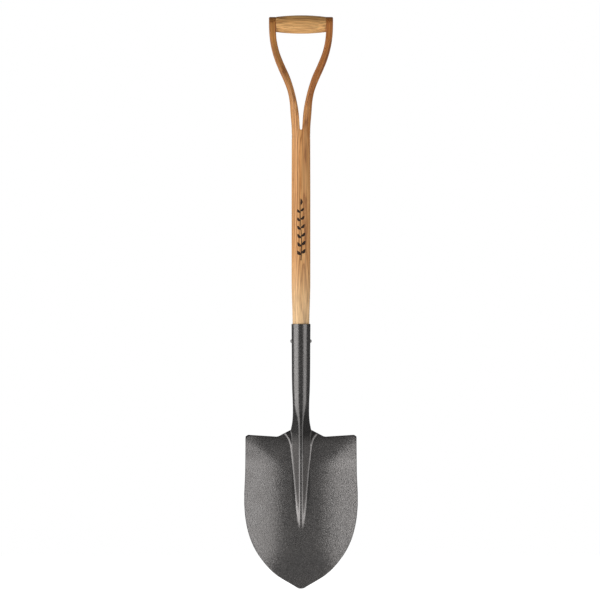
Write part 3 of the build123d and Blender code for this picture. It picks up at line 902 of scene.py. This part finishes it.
class Finish:
    """A node material, or the world's nodes, under construction."""

    def __init__(self, name, world=None):
        self.owner = world or bpy.data.materials.new(name)
        self.owner.use_nodes = True
        self.tree = self.owner.node_tree
        self.tree.nodes.clear()

    def node(self, kind, *values, **settings):
        """A new node with its settings made and its first inputs fed."""
        made = self.tree.nodes.new("ShaderNode" + kind)
        for key, value in settings.items():
            setattr(made, key, value)
        for socket, value in zip(made.inputs, values):
            self.feed(socket, value)
        return made

    def feed(self, socket, value):
        """Link a socket to the input, or set the input to a constant."""
        if isinstance(value, bpy.types.NodeSocket):
            self.tree.links.new(value, socket)
        else:
            socket.default_value = value

    def add(self, kind, settings=None, **values):
        """First output of a new node with the named inputs fed, if it has an output."""
        made = self.node(kind, **(settings or {}))
        for key, value in values.items():
            self.feed(made.inputs[key.replace("_", " ")], value)
        return made.outputs[0] if made.outputs else None

    def math(self, operation, *values):
        return self.node("Math", *values, operation=operation).outputs[0]

    def plus(self, a, b):
        return self.math("ADD", a, b)

    def minus(self, a, b):
        return self.math("SUBTRACT", a, b)

    def times(self, a, b):
        return self.math("MULTIPLY", a, b)

    def stretch(self, vector, scales):
        """The vector with its three numbers multiplied by three scales."""
        return self.node("VectorMath", vector, scales, operation="MULTIPLY").outputs[0]

    def split(self, vector):
        """The three numbers of a vector."""
        return self.node("SeparateXYZ", vector).outputs

    def number_on_mesh(self, name):
        return self.node("Attribute", attribute_name=name).outputs[2]

    def vector_on_mesh(self, name):
        return self.node("Attribute", attribute_name=name).outputs[1]

    def object_position(self):
        """Metres in the object's own coordinates."""
        return self.node("TexCoord").outputs[3]

    def remap(self, value, from_low, from_high, to_low, to_high):
        """Smooth change from to_low to to_high while value goes from from_low to from_high."""
        made = self.node(
            "MapRange", value, from_low, from_high, to_low, to_high, interpolation_type="SMOOTHSTEP",
        )
        return made.outputs[0]

    def ramp(self, value, stops):
        """Colour at value between (position, colour) stops."""
        made = self.node("ValToRGB", value)
        items = made.color_ramp.elements
        while len(items) < len(stops):
            items.new(0.5)
        for item, (position, color) in zip(items, stops):
            item.position = position
            item.color = (*color, 1)
        return made.outputs[0]

    def mix(self, share, a, b, blend="MIX"):
        made = self.node("Mix", share, data_type="RGBA", blend_type=blend)
        self.feed(made.inputs[6], a)
        self.feed(made.inputs[7], b)
        return made.outputs[2]

    def noise(self, vector, scale, detail=2.0, roughness=0.5):
        return self.add("TexNoise", Vector=vector, Scale=scale, Detail=detail, Roughness=roughness)

    def bump(self, height, strength, distance, **after):
        return self.add("Bump", Height=height, Strength=strength, Distance=distance, **after)

    def surface(self, **values):
        """The finished material, with the principled shader's named inputs fed."""
        self.add("OutputMaterial", Surface=self.add("BsdfPrincipled", **values))
        return self.owner


COAT_TONES = [
    (0.35, (0.136, 0.131, 0.129)), (0.50, (0.205, 0.196, 0.192)), (0.65, (0.305, 0.293, 0.287)),
]
COAT_PATCH = (0.20, 0.186, 0.178, 1)
# tone of the painted shade about the shoulders and the neck
COAT_PAINTED_SHADE = (0.05, 0.048, 0.047, 1)
# tone of the painted shade on the frog and the socket
FROG_PAINTED_SHADE = (0.045, 0.044, 0.043, 1)
COAT_RUBBED = (0.30, 0.29, 0.285, 1)


def powder_coat(name, on_sheet):
    """Graphite powder coat with a hammered grain, and painted shade about the shoulders and the neck. On
    the sheet it also has painted shade on the frog and the socket, and is rubbed a little at the edges."""
    f = Finish(name)
    position = f.object_position()
    grain = f.noise(position, 430, 3.0, 0.62)
    fine = f.noise(position, 1500, 2.0, 0.6)
    patches = f.noise(position, 28, 3.0, 0.55)
    cells = f.add(
        "TexVoronoi", {"feature": "SMOOTH_F1"}, Vector=position, Scale=520.0, Smoothness=0.6,
    )
    body = f.ramp(f.plus(f.times(grain, 0.75), f.times(fine, 0.25)), COAT_TONES)
    body = f.mix(f.remap(patches, 0.35, 0.7, 0.0, 0.22), body, COAT_PATCH)
    height = f.split(position)[2]
    # painted shade: the coat darkened in a band about the shoulders and the neck, where shade falls
    painted_shade = f.times(
        f.remap(height, 0.270, 0.291, 0.0, 0.46), f.remap(height, 0.325, 0.365, 1.0, 0.0),
    )
    body = f.mix(painted_shade, body, COAT_PAINTED_SHADE)
    rough = f.plus(f.remap(grain, 0.3, 0.7, 0.20, 0.28), f.remap(patches, 0.3, 0.7, -0.02, 0.04))
    if on_sheet:
        # painted shade: the frog and the socket darkened, most along the crest
        body = f.mix(f.times(f.number_on_mesh("frog"), 0.68), body, FROG_PAINTED_SHADE)
        wear = f.remap(f.noise(position, 160, 3.0, 0.6), 0.52, 0.66, 0.0, 0.55)
        rub = f.times(f.remap(f.number_on_mesh("edge"), 0.35, 1.0, 0.0, 1.0), wear)
        body = f.mix(rub, body, COAT_RUBBED)
        rough = f.minus(rough, f.times(rub, 0.12))
    relief = f.plus(f.times(grain, 0.6), f.times(cells, 0.4))
    normal = f.bump(fine, 0.2, 0.0001, Normal=f.bump(relief, 0.4, 0.0004))
    return f.surface(
        Base_Color=body, Roughness=rough, Metallic=0.78, Specular_IOR_Level=0.5, Normal=normal,
    )


def along_the_shaft(f, color, x, z):
    """The timber's tones: pale low down, browner upwards and its right arm redder, with painted shade that
    makes its left arm darker and greyer.
    """
    right = f.times(f.remap(z, 800.0, 900.0, 0.0, 1.0), f.remap(x, 0.0, 8.0, 0.0, 0.8))
    color = f.mix(right, color, (0.88, 0.78, 0.66, 1), "MULTIPLY")
    high = f.remap(z, 870.0, 1020.0, 0.0, 1.0)
    color = f.mix(high, color, (0.73, 0.59, 0.43, 1), "MULTIPLY")
    # painted shade: the left arm made darker and greyer on the side the left lamp lights
    left = f.times(high, f.remap(x, -8.0, -1.0, 1.0, 0.0))
    color = f.mix(left, color, (0.84, 0.87, 0.78, 1), "MULTIPLY")
    low = f.remap(z, 500.0, 660.0, 1.0, 0.0)
    color = f.mix(f.minus(1.0, low), color, (0.96, 0.85, 0.74, 1), "MULTIPLY")
    return f.mix(f.times(low, 0.42), color, (0.82, 0.62, 0.37, 1))


def ash(name, pith, tilt, tones, is_shaft):
    """Oiled ash. The grain attribute's last number runs along the timber, in millimetres. The annual
    rings are circles about the pith, which leans by tilt."""
    f = Finish(name)
    grain = f.vector_on_mesh("grain")
    x, y, z = f.split(grain)
    ring_dark, ring_brown, ring_mid, ring_light, pore_tone, broad_tone = tones

    def streaks(across, along, detail=2.0, roughness=0.5):
        """Noise with its own scale across and along the timber."""
        return f.noise(f.stretch(grain, (across, across, along)), 1.0, detail, roughness)

    wander = streaks(0.012, 0.0042)
    sway = streaks(0.05, 0.011)
    shift = f.plus(f.times(wander, 16.0), f.times(sway, 3.4))
    from_pith_x = f.plus(f.minus(x, pith[0]), f.times(z, tilt[0]))
    from_pith_y = f.plus(f.minus(y, pith[1]), f.times(z, tilt[1]))
    radius = f.math("SQRT", f.plus(f.times(from_pith_x, from_pith_x), f.times(from_pith_y, from_pith_y)))
    rings = f.plus(f.times(f.plus(radius, shift), 0.40), f.times(streaks(0.22, 0.018), 0.55))
    phase = f.math("FRACT", rings)
    color = f.ramp(phase, [
        (0.00, ring_dark), (0.10, ring_brown), (0.34, ring_mid), (0.62, ring_light), (0.93, ring_mid),
        (1.00, ring_dark),
    ])
    early = f.minus(1.0, f.remap(phase, 0.10, 0.42, 0.0, 1.0))
    pores = f.remap(streaks(2.4, 0.085, 2.0, 0.55), 0.52, 0.66, 0.0, 1.0)
    pores = f.times(pores, f.plus(f.times(early, 0.75), 0.14))
    fibre = streaks(1.6, 0.021, 3.0, 0.6)
    color = f.mix(f.remap(fibre, 0.35, 0.70, 0.0, 0.46), color, ring_light + (1,))
    color = f.mix(f.remap(streaks(0.34, 0.0075), 0.50, 0.70, 0.0, 0.60), color, ring_brown + (1,))
    color = f.mix(f.times(pores, 0.80), color, pore_tone + (1,))
    color = f.mix(f.remap(streaks(0.045, 0.006), 0.38, 0.72, 0.0, 0.30), color, broad_tone + (1,))
    if is_shaft:
        color = along_the_shaft(f, color, x, z)
    lines = streaks(0.75, 0.0055, 3.0, 0.6)
    color = f.mix(1.0, color, f.remap(lines, 0.32, 0.68, 0.66, 1.26), "MULTIPLY")
    rough = f.plus(f.remap(fibre, 0.3, 0.7, 0.46, 0.58), f.times(pores, 0.12))
    normal = f.bump(f.minus(f.times(fibre, 0.25), pores), 0.35, 0.00022)
    return f.surface(Base_Color=color, Roughness=rough, Specular_IOR_Level=0.35, Normal=normal)


def burnt_wood(name):
    """Charred wood: dark brown, blacker in the pores, with the grain still showing."""
    f = Finish(name)
    grain = f.vector_on_mesh("grain")
    fibre = f.noise(f.stretch(grain, (1.4, 1.4, 0.06)), 1.0, 3.0, 0.6)
    spots = f.noise(grain, 0.9)
    color = f.ramp(f.plus(f.times(fibre, 0.7), f.times(spots, 0.3)), [
        (0.34, (0.012, 0.008, 0.006)), (0.52, (0.028, 0.015, 0.009)), (0.68, (0.075, 0.036, 0.018)),
    ])
    rough = f.remap(fibre, 0.3, 0.7, 0.62, 0.8)
    normal = f.bump(fibre, 0.5, 0.0002)
    return f.surface(Base_Color=color, Roughness=rough, Specular_IOR_Level=0.25, Normal=normal)


def plain_steel(name):
    """Plain steel with turning marks, small hammer dents and some tarnish."""
    f = Finish(name)
    position = f.object_position()
    dents = f.noise(position, 620)
    marks = f.noise(f.stretch(position, (400.0, 2600.0, 2600.0)), 1.0, 2.0, 0.6)
    tarnish = f.noise(position, 190, 3.0, 0.6)
    color = f.ramp(tarnish, [
        (0.3, (0.36, 0.35, 0.34)), (0.6, (0.56, 0.55, 0.53)), (0.8, (0.63, 0.62, 0.60)),
    ])
    rough = f.plus(f.remap(marks, 0.3, 0.7, 0.26, 0.38), f.remap(tarnish, 0.3, 0.6, 0.14, 0.0))
    normal = f.bump(marks, 0.15, 0.00005, Normal=f.bump(dents, 0.3, 0.00025))
    return f.surface(Base_Color=color, Metallic=1.0, Roughness=rough, Normal=normal)


# ---- putting the spade together

# ring tones from dark to light, then the pores' tone and that of the broad streaks
SHAFT_TONES = [
    (0.28, 0.108, 0.032), (0.40, 0.180, 0.058), (0.58, 0.305, 0.115), (0.72, 0.435, 0.190),
    (0.15, 0.055, 0.018), (0.46, 0.200, 0.062),
]
GRIP_TONES = [
    (0.29, 0.112, 0.034), (0.42, 0.184, 0.056), (0.63, 0.330, 0.112), (0.80, 0.480, 0.190),
    (0.15, 0.055, 0.017), (0.48, 0.210, 0.062),
]

coat = powder_coat("graphite_powder_coat", True)
rivet_coat = powder_coat("graphite_on_rivet", False)
shaft_ash = ash("oiled_ash_shaft", (-6.0, 34.0), (0.006, 0.021), SHAFT_TONES, True)
grip_ash = ash("oiled_ash_grip", (6.0, -46.0), (0.01, 0.03), GRIP_TONES, False)
steel = plain_steel("rivet_steel")

for made, node_name, slot_name, finish in (
    (make_head(), "head", "graphite_paint", coat),
    (make_shaft(), "shaft", "ash", shaft_ash),
    (make_grip(), "grip", "ash_grip", grip_ash),
):
    made.data.materials.clear()
    made.data.materials.append(finish)
    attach(made, "root")
    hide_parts(node_name)

mark = make_mark()
mark.data.materials.append(burnt_wood("burnt_wood"))
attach(mark, "root")

for node_name, finish in (
    ("socket_rivet", rivet_coat), ("grip_rivet", steel), ("grip_washers", steel),
    ("fork_rivet", steel), ("fork_washers", steel),
):
    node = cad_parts[node_name]
    node.data.materials.clear()
    node.data.materials.append(finish)

# ---- studio

FLOOR_SIDE = 3.0
SURROUND = 0.085         # light of the dim room round the spade; the camera sees plain white


def make_floor():
    """Pale floor that the metal doesn't mirror."""
    bpy.ops.mesh.primitive_plane_add(size=1.0, location=(0, 0, 0))
    floor = bpy.context.object
    floor.name = "floor"
    floor.scale = (FLOOR_SIDE, FLOOR_SIDE, 1.0)
    floor.visible_glossy = False
    f = Finish("pale_floor")
    spots = f.noise(f.object_position(), 3.0, 3.0)
    tone = f.ramp(spots, [(0.3, (0.93, 0.93, 0.93)), (0.7, (0.97, 0.97, 0.97))])
    floor.data.materials.append(f.surface(
        Base_Color=tone, Roughness=0.9, Emission_Color=(1, 1, 1, 1), Emission_Strength=0.85,
    ))
    return floor


def soft_box(name, centre, width, height, power):
    """Upright area light, in metres and watts, that faces the spade and that the camera doesn't see."""
    data = bpy.data.lights.new(name, "AREA")
    data.shape = "RECTANGLE"
    data.size = width
    data.size_y = height
    data.energy = power
    lamp = bpy.data.objects.new(name, data)
    bpy.context.scene.collection.objects.link(lamp)
    lamp.location = centre
    aim = Vector((-centre[0], -centre[1], 0))
    lamp.rotation_mode = "QUATERNION"
    lamp.rotation_quaternion = aim.to_track_quat("-Z", "Y")
    lamp.visible_camera = False


make_floor()
soft_box("soft_box_left", (-1.425, -0.635, 0.6), 1.95, 2.6, 42)
soft_box("soft_box_right", (1.312, -1.062, 0.6), 1.33, 2.6, 19.5)

world = bpy.data.worlds.new("studio")
bpy.context.scene.world = world
sky = Finish("studio", world)
dim = sky.add("Background", Color=(1, 1, 1, 1), Strength=SURROUND)
white = sky.add("Background", Color=(1, 1, 1, 1), Strength=1.0)
is_camera_ray = sky.add("LightPath")
sky.add("OutputWorld", Surface=sky.node("MixShader", is_camera_ray, dim, white).outputs[0])

scene = bpy.context.scene
scene.view_settings.view_transform = "Standard"
scene.view_settings.look = "None"

DISTANCE = 12.0          # metres; FRAME_HEIGHT is the height in view at the spade
FRAME_HEIGHT = 1.152
VIEW_X = -0.0019         # where the middle of the picture meets the spade
VIEW_Z = 0.553
SENSOR = 36.0
camera_data = bpy.data.cameras.new("camera")
camera_data.sensor_width = SENSOR
camera_data.lens = SENSOR * DISTANCE / FRAME_HEIGHT
camera_data.clip_start = 0.1
camera_data.clip_end = 100.0
camera = bpy.data.objects.new("camera", camera_data)
scene.collection.objects.link(camera)
camera.location = (VIEW_X, -DISTANCE, VIEW_Z)
camera.rotation_euler = (math.radians(90), 0, 0)
scene.camera = camera

bpy.context.view_layer.update()
